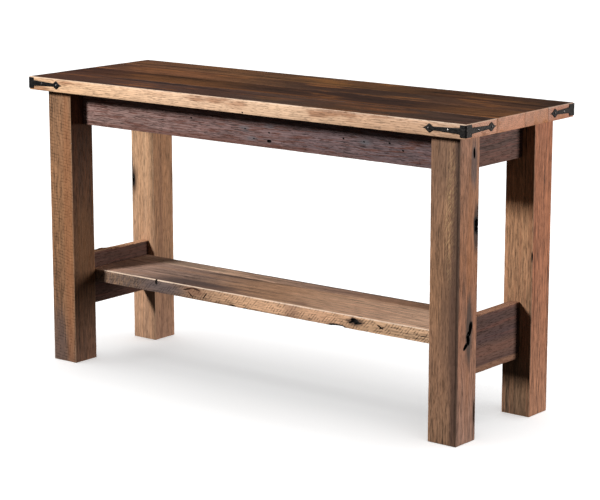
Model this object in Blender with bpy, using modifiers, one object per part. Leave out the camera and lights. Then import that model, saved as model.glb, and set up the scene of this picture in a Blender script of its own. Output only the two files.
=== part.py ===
"""Console table of reclaimed barn timber with four forged corner irons.

Metres, +Z up. X runs along the table, -Y is its front, and the origin is on the floor under
the middle of the top. Run with: blender --background --python part.py
"""

import math

import bmesh
import bpy
from mathutils import Vector

# ---------------------------------------------------------------- driving dimensions
TABLE_LENGTH = 1.3716
TABLE_DEPTH = 0.4572
TABLE_HEIGHT = 0.762
TOP_THICKNESS = 0.035
TOP_SEAMS = (-0.103, 0.014, 0.115)      # where one top board meets the next, along Y

LEG_SIZE = 0.0798
LEG_CENTRE_X = 0.6095
LEG_CENTRE_Y = 0.15705

APRON_HEIGHT = 0.091
APRON_THICKNESS = 0.022
FRONT_APRON_FACE_Y = 0.151              # distance of the front apron's outer face from the middle
END_APRON_FACE_X = 0.615

STRETCHER_THICKNESS = 0.0265
STRETCHER_FACE_X = 0.617
STRETCHER_BOTTOM = 0.144
STRETCHER_HEIGHT = 0.140

SHELF_TOP = 0.2425
SHELF_THICKNESS = 0.0345
SHELF_DEPTH = 0.219
SHELF_SEAM = 0.056

BATTEN_CENTRE_X = 0.300
BATTEN_WIDTH = 0.060
BATTEN_THICKNESS = 0.022
CLEAT_WIDTH = 0.022

# ---------------------------------------------------------------- joints and clearances
GAP = 0.0003                            # between pieces that touch
WOOD_EASE = 0.002                       # eased arris on the top boards
FRAME_EASE = 0.0015                     # eased arris on legs, aprons, stretchers and shelf
TONGUE_LENGTH = 0.008
TONGUE_THICKNESS = 0.010
TONGUE_END_STOP = 0.030                 # the tongue stops this far from the board's end
APRON_TENON_LENGTH = 0.025
END_TENON_LENGTH = 0.020
TENON_THICKNESS = 0.010
APRON_TENON_HEIGHT = 0.060
APRON_TENON_DROP = 0.018                # from the apron's top edge down to the tenon
STRETCHER_TENON_HEIGHT = 0.100
SHELF_TENON_LENGTH = 0.010
SHELF_TENON_THICKNESS = 0.014
SHELF_TENON_INSET = 0.008               # from a shelf board's edge to its tenon
HOUSING_DEPTH = 0.008                   # batten into apron
OVERCUT = 0.010                         # how far a cutter runs past the face it opens

# ---------------------------------------------------------------- corner irons and nails
IRON_THICKNESS = 0.002
IRON_BEND_RADIUS = 0.0023               # inside of the bend, about the top's corner
IRON_CENTRE_DROP = 0.0165               # iron's middle below the top surface
PLATE_HEIGHT = 0.029
PLATE_FRONT_WIDTH = 0.016
PLATE_END_WIDTH = 0.021
PLATE_STEP = 0.0006                     # run over which the plate steps down to the arm
ARM_ROOT_HEIGHT = 0.0148
SPADE_OUTLINE = (                       # distance past the arm's neck, and height there
    (0.0, 0.0092),
    (0.0100, 0.0225),
    (0.0190, 0.0080),
    (0.0220, 0.0046),
    (0.0290, 0.0010),
)
BEND_STEPS = 4
NAIL_SHANK_RADIUS = 0.0011
NAIL_HEAD_RADIUS = 0.0031
NAIL_HEAD_HEIGHT = 0.0014
NAIL_LENGTH = 0.026
NAIL_NEAR_CORNER = 0.047
NAIL_IN_SPADE = 0.0180                  # from the spade's tip
SCREW_SHANK_RADIUS = 0.002
SCREW_HEAD_RADIUS = 0.0042
SCREW_HEAD_DEPTH = 0.0032
SCREW_LENGTH = 0.031
HOLE_CLEARANCE = 0.0003
TURNED_STEPS = 10

SCREW_SINK = 0.002                      # screw head above the strip's lower face
BATTEN_SCREW_ROWS = {                   # where the screws of a batten sit along Y
    "front": -0.116,
    "second": -0.045,
    "third": 0.065,
    "rear": 0.1225,
}
CLEAT_SCREW_ROWS = {"second": -0.062, "third": 0.062}

# Arm lengths from the corner: along the front or rear edge, then along the end edge.
IRON_ARMS = {
    "front_left": (0.117, 0.118),
    "front_right": (0.1185, 0.120),
    "rear_left": (0.118, 0.110),
    "rear_right": (0.118, 0.105),
}

# ---------------------------------------------------------------- worked-out positions
HALF_LENGTH = TABLE_LENGTH / 2
HALF_DEPTH = TABLE_DEPTH / 2
TOP_BOTTOM = TABLE_HEIGHT - TOP_THICKNESS
APRON_BOTTOM = TOP_BOTTOM - APRON_HEIGHT
LEG_HALF = LEG_SIZE / 2
LEG_INNER_X = LEG_CENTRE_X - LEG_HALF
LEG_INNER_Y = LEG_CENTRE_Y - LEG_HALF
APRON_INNER_Y = FRONT_APRON_FACE_Y - APRON_THICKNESS
APRON_MIDDLE_Y = FRONT_APRON_FACE_Y - APRON_THICKNESS / 2
END_APRON_INNER_X = END_APRON_FACE_X - APRON_THICKNESS
STRETCHER_INNER_X = STRETCHER_FACE_X - STRETCHER_THICKNESS
SHELF_BOTTOM = SHELF_TOP - SHELF_THICKNESS
SHELF_END_X = STRETCHER_INNER_X - GAP
SHELF_MIDDLE_Z = SHELF_TOP - SHELF_THICKNESS / 2
HALF_SHELF = SHELF_DEPTH / 2
BATTEN_BOTTOM = TOP_BOTTOM - GAP - BATTEN_THICKNESS
IRON_MIDDLE_Z = TABLE_HEIGHT - IRON_CENTRE_DROP
SPADE_LENGTH = SPADE_OUTLINE[-1][0]
SIDES = {"left": -1, "right": 1}
FACES = {"front": -1, "rear": 1}

# Linear colour, roughness and metallic value of each finish.
FINISHES = {
    "dark_top_timber": ((0.110, 0.050, 0.032), 0.62, 0.0),
    "leg_timber": ((0.300, 0.150, 0.085), 0.72, 0.0),
    "apron_timber": ((0.150, 0.090, 0.072), 0.75, 0.0),
    "stretcher_timber": ((0.105, 0.055, 0.045), 0.72, 0.0),
    "light_shelf_timber": ((0.420, 0.240, 0.140), 0.68, 0.0),
    "dark_shelf_timber": ((0.150, 0.100, 0.075), 0.72, 0.0),
    "inner_timber": ((0.330, 0.190, 0.110), 0.75, 0.0),
    "forged_iron": ((0.020, 0.018, 0.017), 0.55, 0.9),
    "steel_screw": ((0.350, 0.340, 0.320), 0.40, 1.0),
}


def clear_scene():
    """Remove every object that the scene starts with."""
    for thing in list(bpy.data.objects):
        bpy.data.objects.remove(thing, do_unlink=True)


def new_collection(name):
    """Make a collection in the scene."""
    collection = bpy.data.collections.new(name)
    bpy.context.scene.collection.children.link(collection)
    return collection


def finish_material(name):
    """Make one Principled material for a finish."""
    colour, roughness, metallic = FINISHES[name]
    material = bpy.data.materials.new(name)
    material.use_nodes = True
    shader = material.node_tree.nodes["Principled BSDF"]
    shader.inputs["Base Color"].default_value = (*colour, 1.0)
    shader.inputs["Roughness"].default_value = roughness
    shader.inputs["Metallic"].default_value = metallic
    material.diffuse_color = (*colour, 1.0)
    return material


def settle(thing, collection, name, finish=None):
    """Name an object, give it its finish and move it into its collection."""
    thing.name = name
    thing.data.name = name
    for old in list(thing.users_collection):
        old.objects.unlink(thing)
    collection.objects.link(thing)
    if finish:
        thing.data.materials.clear()
        thing.data.materials.append(MATERIALS[finish])
    return thing


def block(name, low, high, finish, ease=0.0):
    """A squared piece of timber between two corners, with eased edges."""
    low = Vector(low)
    high = Vector(high)
    bpy.ops.mesh.primitive_cube_add(size=1.0, location=(low + high) / 2)
    thing = bpy.context.object
    thing.scale = high - low
    bpy.ops.object.transform_apply(location=False, rotation=False, scale=True)
    settle(thing, PIECES, name, finish)
    if ease:
        bevel = thing.modifiers.new("eased_edges", "BEVEL")
        bevel.width = ease
        bevel.segments = 1
        bevel.limit_method = "ANGLE"
    return thing


def block_tool(name, low, high):
    """A box that cuts or joins a piece and isn't a piece itself."""
    thing = block(name, low, high, None)
    return as_tool(thing)


def rod_tool(name, radius, start, end):
    """A round cutter between two points."""
    start = Vector(start)
    end = Vector(end)
    along = end - start
    bpy.ops.mesh.primitive_cylinder_add(vertices=TURNED_STEPS, radius=radius, depth=along.length,
                                        location=(start + end) / 2,
                                        rotation=along.to_track_quat("Z", "Y").to_euler())
    thing = bpy.context.object
    settle(thing, PIECES, name)
    return as_tool(thing)


def as_tool(thing):
    """Keep a cutter out of the finished object."""
    settle(thing, CUTTERS, thing.name)
    thing.hide_render = True
    thing.display_type = "WIRE"
    return thing


def combine(thing, tool, operation):
    """Join a tool to a piece, or cut it away."""
    step = thing.modifiers.new(operation.lower() + "_" + tool.name, "BOOLEAN")
    step.operation = operation
    step.solver = "EXACT"
    step.object = tool


def cut(thing, tool):
    """Cut a tool's shape out of a piece."""
    combine(thing, tool, "DIFFERENCE")


def join(thing, tool):
    """Add a tool's shape to a piece."""
    combine(thing, tool, "UNION")


def grown(low, high, amount):
    """The two corners of a box, moved out by a clearance."""
    margin = Vector((amount, amount, amount))
    return Vector(low) - margin, Vector(high) + margin


def sorted_corners(first, second):
    """Two opposite corners of a box as its lowest and highest corner."""
    low = tuple(min(a, b) for a, b in zip(first, second))
    high = tuple(max(a, b) for a, b in zip(first, second))
    return low, high


def tongue_and_groove(front, rear, seam, half_run, middle_z):
    """Join two boards edge to edge: a tongue on the front board, a groove in the rear one."""
    half_tongue = TONGUE_THICKNESS / 2
    low = (-half_run, seam - TONGUE_LENGTH, middle_z - half_tongue)
    high = (half_run, seam + TONGUE_LENGTH - GAP, middle_z + half_tongue)
    join(front, block_tool(front.name + "_tongue", low, high))
    groove_low = (-half_run - GAP, seam - OVERCUT, middle_z - half_tongue - GAP)
    groove_high = (half_run + GAP, seam + TONGUE_LENGTH, middle_z + half_tongue + GAP)
    cut(rear, block_tool(rear.name + "_groove", groove_low, groove_high))


# ---------------------------------------------------------------- the top
def make_top():
    """Four boards tongued together along their edges."""
    edges = (-HALF_DEPTH, *TOP_SEAMS, HALF_DEPTH)
    names = ("top_board_front", "top_board_second", "top_board_third", "top_board_rear")
    boards = {}
    for number, name in enumerate(names):
        front_gap = GAP / 2 if number > 0 else 0.0
        rear_gap = GAP / 2 if number < len(names) - 1 else 0.0
        low = (-HALF_LENGTH, edges[number] + front_gap, TOP_BOTTOM)
        high = (HALF_LENGTH, edges[number + 1] - rear_gap, TABLE_HEIGHT)
        boards[name] = block(name, low, high, "dark_top_timber", WOOD_EASE)
    middle_z = TABLE_HEIGHT - TOP_THICKNESS / 2
    half_run = HALF_LENGTH - TONGUE_END_STOP
    for number, seam in enumerate(TOP_SEAMS):
        tongue_and_groove(boards[names[number]], boards[names[number + 1]], seam, half_run, middle_z)
    return boards


# ---------------------------------------------------------------- legs and frame
def make_legs():
    """Four square posts."""
    legs = {}
    for face, face_sign in FACES.items():
        for side, side_sign in SIDES.items():
            middle_x = side_sign * LEG_CENTRE_X
            middle_y = face_sign * LEG_CENTRE_Y
            low = (middle_x - LEG_HALF, middle_y - LEG_HALF, 0.0)
            high = (middle_x + LEG_HALF, middle_y + LEG_HALF, TOP_BOTTOM - GAP)
            name = "leg_" + face + "_" + side
            legs[face, side] = block(name, low, high, "leg_timber", FRAME_EASE)
    return legs


def tenon(rail, post, low, high):
    """A tenon box joined to one piece, and the same box with clearance cut from the other."""
    label = rail.name + "_to_" + post.name
    join(rail, block_tool(label + "_tenon", low, high))
    cut(post, block_tool(label + "_mortise", *grown(low, high, GAP)))


def make_long_aprons(legs):
    """Front and rear aprons, tenoned into the legs."""
    tenon_top = TOP_BOTTOM - APRON_TENON_DROP
    tenon_bottom = tenon_top - APRON_TENON_HEIGHT
    aprons = {}
    for face, face_sign in FACES.items():
        inner_y = face_sign * APRON_INNER_Y
        outer_y = face_sign * FRONT_APRON_FACE_Y
        half_run = LEG_INNER_X - GAP
        low, high = sorted_corners((-half_run, inner_y, APRON_BOTTOM),
                                   (half_run, outer_y, TOP_BOTTOM - GAP))
        apron = block("apron_" + face, low, high, "apron_timber", FRAME_EASE)
        for side, side_sign in SIDES.items():
            middle_y = face_sign * APRON_MIDDLE_Y
            start_x = side_sign * (LEG_INNER_X - OVERCUT)
            end_x = side_sign * (LEG_INNER_X + APRON_TENON_LENGTH)
            low, high = sorted_corners((start_x, middle_y - TENON_THICKNESS / 2, tenon_bottom),
                                       (end_x, middle_y + TENON_THICKNESS / 2, tenon_top))
            tenon(apron, legs[face, side], low, high)
        aprons[face] = apron
    return aprons


def make_end_rail(name, side, legs, face_x, thickness, bottom, top, tenon_bottom, tenon_top, finish):
    """A board across one end of the table, tenoned into a front and a rear leg."""
    side_sign = SIDES[side]
    half_run = LEG_INNER_Y - GAP
    low, high = sorted_corners((side_sign * (face_x - thickness), -half_run, bottom),
                               (side_sign * face_x, half_run, top))
    rail = block(name, low, high, finish, FRAME_EASE)
    middle_x = side_sign * (face_x - thickness / 2)
    for face, face_sign in FACES.items():
        start_y = face_sign * (LEG_INNER_Y - OVERCUT)
        end_y = face_sign * (LEG_INNER_Y + END_TENON_LENGTH)
        low, high = sorted_corners((middle_x - TENON_THICKNESS / 2, start_y, tenon_bottom),
                                   (middle_x + TENON_THICKNESS / 2, end_y, tenon_top))
        tenon(rail, legs[face, side], low, high)
    return rail


def make_end_rails(legs):
    """The end aprons under the top and the stretchers that carry the shelf."""
    apron_tenon_top = TOP_BOTTOM - APRON_TENON_DROP
    stretcher_top = STRETCHER_BOTTOM + STRETCHER_HEIGHT
    stretcher_margin = (STRETCHER_HEIGHT - STRETCHER_TENON_HEIGHT) / 2
    stretchers = {}
    for side in SIDES:
        make_end_rail("apron_" + side, side, legs, END_APRON_FACE_X, APRON_THICKNESS,
                      APRON_BOTTOM, TOP_BOTTOM - GAP,
                      apron_tenon_top - APRON_TENON_HEIGHT, apron_tenon_top, "apron_timber")
        stretchers[side] = make_end_rail("stretcher_" + side, side, legs,
                                         STRETCHER_FACE_X, STRETCHER_THICKNESS,
                                         STRETCHER_BOTTOM, stretcher_top,
                                         STRETCHER_BOTTOM + stretcher_margin,
                                         stretcher_top - stretcher_margin, "stretcher_timber")
    return stretchers


def make_shelf(stretchers):
    """Two shelf boards, tongued together and tenoned into the stretchers."""
    rows = {"front": (-HALF_SHELF, SHELF_SEAM - GAP / 2, "light_shelf_timber"),
            "rear": (SHELF_SEAM + GAP / 2, HALF_SHELF, "dark_shelf_timber")}
    boards = {}
    for row, (near_y, far_y, finish) in rows.items():
        board = block("shelf_board_" + row, (-SHELF_END_X, near_y, SHELF_BOTTOM),
                      (SHELF_END_X, far_y, SHELF_TOP), finish, FRAME_EASE)
        for side, side_sign in SIDES.items():
            start_x = side_sign * (STRETCHER_INNER_X - OVERCUT)
            end_x = side_sign * (STRETCHER_INNER_X + SHELF_TENON_LENGTH)
            half_tenon = SHELF_TENON_THICKNESS / 2
            low, high = sorted_corners(
                (start_x, near_y + SHELF_TENON_INSET, SHELF_MIDDLE_Z - half_tenon),
                (end_x, far_y - SHELF_TENON_INSET, SHELF_MIDDLE_Z + half_tenon))
            tenon(board, stretchers[side], low, high)
        boards[row] = board
    half_run = STRETCHER_INNER_X - TONGUE_END_STOP
    tongue_and_groove(boards["front"], boards["rear"], SHELF_SEAM, half_run, SHELF_MIDDLE_Z)


# ---------------------------------------------------------------- under the top
def make_battens(aprons):
    """Two battens across the boards, their ends let into the long aprons."""
    half_run = APRON_INNER_Y + HOUSING_DEPTH
    battens = {}
    for side, side_sign in SIDES.items():
        middle_x = side_sign * BATTEN_CENTRE_X
        low = (middle_x - BATTEN_WIDTH / 2, -half_run, BATTEN_BOTTOM)
        high = (middle_x + BATTEN_WIDTH / 2, half_run, TOP_BOTTOM - GAP)
        battens[side] = block("batten_" + side, low, high, "inner_timber", FRAME_EASE)
        for face, face_sign in FACES.items():
            notch_low, notch_high = sorted_corners(
                (low[0] - GAP, face_sign * (APRON_INNER_Y - OVERCUT), BATTEN_BOTTOM - GAP),
                (high[0] + GAP, face_sign * (half_run + GAP), TOP_BOTTOM + OVERCUT))
            cut(aprons[face], block_tool("notch_" + side + "_" + face, notch_low, notch_high))
    return battens


def make_cleats():
    """A strip glued inside each end apron, flush with its top edge."""
    cleats = {}
    half_run = LEG_INNER_Y - OVERCUT
    for side, side_sign in SIDES.items():
        outer_x = side_sign * (END_APRON_INNER_X - GAP)
        inner_x = side_sign * (END_APRON_INNER_X - GAP - CLEAT_WIDTH)
        low, high = sorted_corners((inner_x, -half_run, BATTEN_BOTTOM),
                                   (outer_x, half_run, TOP_BOTTOM - GAP))
        cleats[side] = block("cleat_" + side, low, high, "inner_timber", FRAME_EASE)
    return cleats


# ---------------------------------------------------------------- irons, nails and screws
def arm_outline(arm_length, plate_width):
    """One arm's outline from the corner plate to the tip: (distance from the corner, height)."""
    neck = arm_length - SPADE_LENGTH
    spade = [(neck + distance, height) for distance, height in SPADE_OUTLINE]
    return [(plate_width, PLATE_HEIGHT), (plate_width + PLATE_STEP, ARM_ROOT_HEIGHT), *spade]


def iron_columns(long_arm, end_arm):
    """The iron's outline from the long arm's tip, round the bend, to the end arm's tip.

    Each column is (kind, place, height): the place is a distance from the corner on an arm, and
    the share of the turn in the bend.
    """
    long_side = reversed(arm_outline(long_arm, PLATE_FRONT_WIDTH))
    columns = [("long", distance, height) for distance, height in long_side]
    columns += [("bend", step / BEND_STEPS, PLATE_HEIGHT) for step in range(BEND_STEPS + 1)]
    columns += [("end", distance, height) for distance, height in arm_outline(end_arm, PLATE_END_WIDTH)]
    return columns


def column_place(kind, place, face_sign, side_sign):
    """Where a column of the iron's inner surface stands, as X and Y."""
    if kind == "long":
        return side_sign * (HALF_LENGTH - place), face_sign * (HALF_DEPTH + GAP)
    if kind == "end":
        return side_sign * (HALF_LENGTH + GAP), face_sign * (HALF_DEPTH - place)
    turn = place * math.pi / 2
    inset = IRON_BEND_RADIUS - GAP
    return (side_sign * (HALF_LENGTH - inset + IRON_BEND_RADIUS * math.sin(turn)),
            face_sign * (HALF_DEPTH - inset + IRON_BEND_RADIUS * math.cos(turn)))


def make_iron(corner, face_sign, side_sign):
    """One iron: a strip shaped along its length, bent round the top's corner and thickened."""
    columns = iron_columns(*IRON_ARMS[corner])
    last = len(columns) - 1
    bpy.ops.mesh.primitive_grid_add(x_subdivisions=last, y_subdivisions=1, size=2.0)
    strip = bpy.context.object
    settle(strip, PIECES, "iron_" + corner, "forged_iron")
    for vertex in strip.data.vertices:
        kind, place, height = columns[round((vertex.co.x + 1.0) / 2.0 * last)]
        x, y = column_place(kind, place, face_sign, side_sign)
        vertex.co = Vector((x, y, IRON_MIDDLE_Z + math.copysign(height / 2, vertex.co.y)))
    turn_outwards(strip)
    wall = strip.modifiers.new("iron_thickness", "SOLIDIFY")
    wall.thickness = IRON_THICKNESS
    wall.offset = 1.0
    wall.use_even_offset = True
    return strip


def turn_outwards(strip):
    """Make an open strip's faces point away from the middle of the table."""
    mesh = bmesh.new()
    mesh.from_mesh(strip.data)
    middle = Vector((0.0, 0.0, IRON_MIDDLE_Z))
    backwards = [face for face in mesh.faces
                 if face.normal.dot(face.calc_center_median() - middle) < 0]
    bmesh.ops.reverse_faces(mesh, faces=backwards)
    mesh.to_mesh(strip.data)
    mesh.free()


def turned(name, profile, finish):
    """A round piece: a profile of (radius, height) points, top to bottom, turned about Z."""
    mesh = bpy.data.meshes.new(name)
    outline = bmesh.new()
    points = [outline.verts.new((radius, 0.0, height)) for radius, height in profile]
    for first, second in zip(points, points[1:]):
        outline.edges.new((first, second))
    outline.to_mesh(mesh)
    outline.free()
    thing = bpy.data.objects.new(name, mesh)
    PIECES.objects.link(thing)
    mesh.materials.append(MATERIALS[finish])
    spin = thing.modifiers.new("turned", "SCREW")
    spin.axis = "Z"
    spin.steps = TURNED_STEPS
    spin.render_steps = TURNED_STEPS
    spin.use_merge_vertices = True
    spin.merge_threshold = 0.00001
    return thing


NAIL_PROFILE = (
    (0.0, NAIL_HEAD_HEIGHT),
    (NAIL_HEAD_RADIUS * 0.55, NAIL_HEAD_HEIGHT * 0.85),
    (NAIL_HEAD_RADIUS, NAIL_HEAD_HEIGHT * 0.25),
    (NAIL_HEAD_RADIUS, 0.0),
    (NAIL_SHANK_RADIUS, 0.0),
    (NAIL_SHANK_RADIUS, -NAIL_LENGTH * 0.85),
    (0.0, -NAIL_LENGTH),
)
SCREW_PROFILE = (
    (0.0, 0.0),
    (SCREW_HEAD_RADIUS, 0.0),
    (SCREW_SHANK_RADIUS, -SCREW_HEAD_DEPTH),
    (SCREW_SHANK_RADIUS, -SCREW_LENGTH * 0.85),
    (0.0, -SCREW_LENGTH),
)


def drive_nail(name, point, outward, board, iron):
    """A nail through an iron into a board; point is on the iron's outer face."""
    nail = turned(name, NAIL_PROFILE, "forged_iron")
    nail.rotation_euler = outward.to_track_quat("Z", "Y").to_euler()
    nail.location = point + outward * GAP
    radius = NAIL_SHANK_RADIUS + HOLE_CLEARANCE
    hole_start = point + outward * OVERCUT
    hole_end = point - outward * (NAIL_LENGTH + GAP)
    hole = rod_tool(name + "_hole", radius, hole_start, hole_end)
    cut(board, hole)
    cut(iron, hole)


def make_irons(boards):
    """The four irons and the two nails in each arm."""
    out = IRON_THICKNESS + GAP
    for face, face_sign in FACES.items():
        board = boards["top_board_" + face]
        for side, side_sign in SIDES.items():
            corner = face + "_" + side
            iron = make_iron(corner, face_sign, side_sign)
            long_arm, end_arm = IRON_ARMS[corner]
            long_face_y = face_sign * (HALF_DEPTH + out)
            end_face_x = side_sign * (HALF_LENGTH + out)
            for spot, distance in (("near", NAIL_NEAR_CORNER), ("spade", long_arm - NAIL_IN_SPADE)):
                point = Vector((side_sign * (HALF_LENGTH - distance), long_face_y, IRON_MIDDLE_Z))
                name = "nail_" + corner + "_long_" + spot
                drive_nail(name, point, Vector((0, face_sign, 0)), board, iron)
            for spot, distance in (("near", NAIL_NEAR_CORNER), ("spade", end_arm - NAIL_IN_SPADE)):
                point = Vector((end_face_x, face_sign * (HALF_DEPTH - distance), IRON_MIDDLE_Z))
                name = "nail_" + corner + "_end_" + spot
                drive_nail(name, point, Vector((side_sign, 0, 0)), board, iron)


def drive_screw(name, place, strip, board):
    """A countersunk screw, driven up through a strip into a top board."""
    screw = turned(name, SCREW_PROFILE, "steel_screw")
    screw.rotation_euler = (math.pi, 0.0, 0.0)
    screw.location = (place[0], place[1], BATTEN_BOTTOM + SCREW_SINK)
    shank = SCREW_SHANK_RADIUS + HOLE_CLEARANCE
    top = BATTEN_BOTTOM + SCREW_SINK + SCREW_LENGTH + GAP
    hole = rod_tool(name + "_hole", shank, (*place, BATTEN_BOTTOM - OVERCUT), (*place, top))
    cut(strip, hole)
    cut(board, hole)
    head = SCREW_HEAD_RADIUS + HOLE_CLEARANCE
    head_end = BATTEN_BOTTOM + SCREW_SINK + SCREW_HEAD_DEPTH + GAP
    cut(strip, rod_tool(name + "_head_hole", head, (*place, BATTEN_BOTTOM - OVERCUT), (*place, head_end)))


def drive_screws(battens, cleats, boards):
    """Every board is held by a screw from each batten; the cleats hold the middle two."""
    for side, side_sign in SIDES.items():
        for row, place_y in BATTEN_SCREW_ROWS.items():
            name = "screw_batten_" + side + "_" + row
            place = (side_sign * BATTEN_CENTRE_X, place_y)
            drive_screw(name, place, battens[side], boards["top_board_" + row])
        cleat_x = side_sign * (END_APRON_INNER_X - GAP - CLEAT_WIDTH / 2)
        for row, place_y in CLEAT_SCREW_ROWS.items():
            name = "screw_cleat_" + side + "_" + row
            drive_screw(name, (cleat_x, place_y), cleats[side], boards["top_board_" + row])


clear_scene()
PIECES = new_collection("console_table")
CUTTERS = new_collection("cutters")
MATERIALS = {name: finish_material(name) for name in FINISHES}

top_boards = make_top()
table_legs = make_legs()
long_aprons = make_long_aprons(table_legs)
end_stretchers = make_end_rails(table_legs)
make_shelf(end_stretchers)
top_battens = make_battens(long_aprons)
end_cleats = make_cleats()
make_irons(top_boards)
drive_screws(top_battens, end_cleats, top_boards)
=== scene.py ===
"""The finished look of the barn timber console table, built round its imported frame."""

import math

import bmesh
import bpy
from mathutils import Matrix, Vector


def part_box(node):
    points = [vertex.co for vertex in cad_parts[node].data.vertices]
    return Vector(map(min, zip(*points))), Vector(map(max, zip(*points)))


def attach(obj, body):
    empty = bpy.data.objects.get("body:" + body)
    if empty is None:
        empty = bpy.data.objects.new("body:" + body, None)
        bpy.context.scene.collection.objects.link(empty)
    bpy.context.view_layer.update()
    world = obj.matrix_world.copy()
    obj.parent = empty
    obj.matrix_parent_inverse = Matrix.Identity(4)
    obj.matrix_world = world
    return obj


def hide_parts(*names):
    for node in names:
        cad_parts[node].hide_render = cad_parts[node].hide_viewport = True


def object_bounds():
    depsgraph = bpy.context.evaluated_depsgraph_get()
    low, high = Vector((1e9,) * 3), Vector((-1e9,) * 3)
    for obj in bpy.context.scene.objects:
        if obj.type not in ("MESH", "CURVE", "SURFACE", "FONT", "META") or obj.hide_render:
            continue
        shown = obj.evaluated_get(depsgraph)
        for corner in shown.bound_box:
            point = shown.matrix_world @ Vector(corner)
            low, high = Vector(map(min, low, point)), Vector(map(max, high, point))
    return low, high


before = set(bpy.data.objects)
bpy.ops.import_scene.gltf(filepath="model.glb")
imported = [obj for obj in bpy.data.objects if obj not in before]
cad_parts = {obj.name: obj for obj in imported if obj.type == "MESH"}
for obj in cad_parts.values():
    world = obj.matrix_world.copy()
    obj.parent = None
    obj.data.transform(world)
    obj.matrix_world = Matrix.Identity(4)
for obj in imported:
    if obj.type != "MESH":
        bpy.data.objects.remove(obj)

cad_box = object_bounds()
cad_low, cad_high = cad_box
MIDDLE = (cad_low + cad_high) / 2

# ---------------------------------------------------------------- camera
CAMERA_AZIMUTH = 38.4                   # degrees round from the front towards the right-hand end
CAMERA_RISE = 11.93                     # degrees up from level
CAMERA_DISTANCE = 5.398
CAMERA_AIM = Vector((0.0249, 0.0117, -0.0297))      # from the middle of the table
CAMERA_LENS = 127.9                     # millimetres


def direction(azimuth, rise):
    """Unit vector out from the table; azimuth 0 is straight out from its front."""
    turn = math.radians(azimuth)
    lift = math.radians(rise)
    level = math.cos(lift)
    return Vector((math.sin(turn) * level, -math.cos(turn) * level, math.sin(lift)))


def add_camera():
    """A long lens from the front right, a little above the top."""
    data = bpy.data.cameras.new("camera")
    data.lens = CAMERA_LENS
    data.clip_end = 100.0
    camera = bpy.data.objects.new("camera", data)
    bpy.context.scene.collection.objects.link(camera)
    back = direction(CAMERA_AZIMUTH, CAMERA_RISE)
    camera.location = MIDDLE + CAMERA_AIM + back * CAMERA_DISTANCE
    camera.rotation_euler = back.to_track_quat("Z", "Y").to_euler()
    bpy.context.scene.camera = camera


add_camera()


# ---------------------------------------------------------------- shader arithmetic
class Wire:
    """A socket of a finish's node tree that can be written in sums."""

    def __init__(self, finish, socket):
        self.finish = finish
        self.socket = socket

    def maths(self, operation, first, second=0.0):
        return self.finish.node("ShaderNodeMath", {"operation": operation}, {0: first, 1: second})

    def __add__(self, other):
        return self.maths("ADD", self, other)

    def __radd__(self, other):
        return self.maths("ADD", other, self)

    def __sub__(self, other):
        return self.maths("SUBTRACT", self, other)

    def __rsub__(self, other):
        return self.maths("SUBTRACT", other, self)

    def __mul__(self, other):
        return self.maths("MULTIPLY", self, other)

    def __rmul__(self, other):
        return self.maths("MULTIPLY", other, self)

    def __pow__(self, other):
        return self.maths("POWER", self, other)

    def __abs__(self):
        return self.maths("ABSOLUTE", self)

    def lowest(self, other):
        return self.maths("MINIMUM", self, other)

    def highest(self, other):
        return self.maths("MAXIMUM", self, other)

    def sine(self):
        return self.maths("SINE", self)


# Sockets that hold one number or one colour all over a piece.
CONSTANT_SOCKETS = {"shine": "Specular IOR Level", "glow": "Emission Strength",
                    "glow_colour": "Emission Color"}


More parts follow.
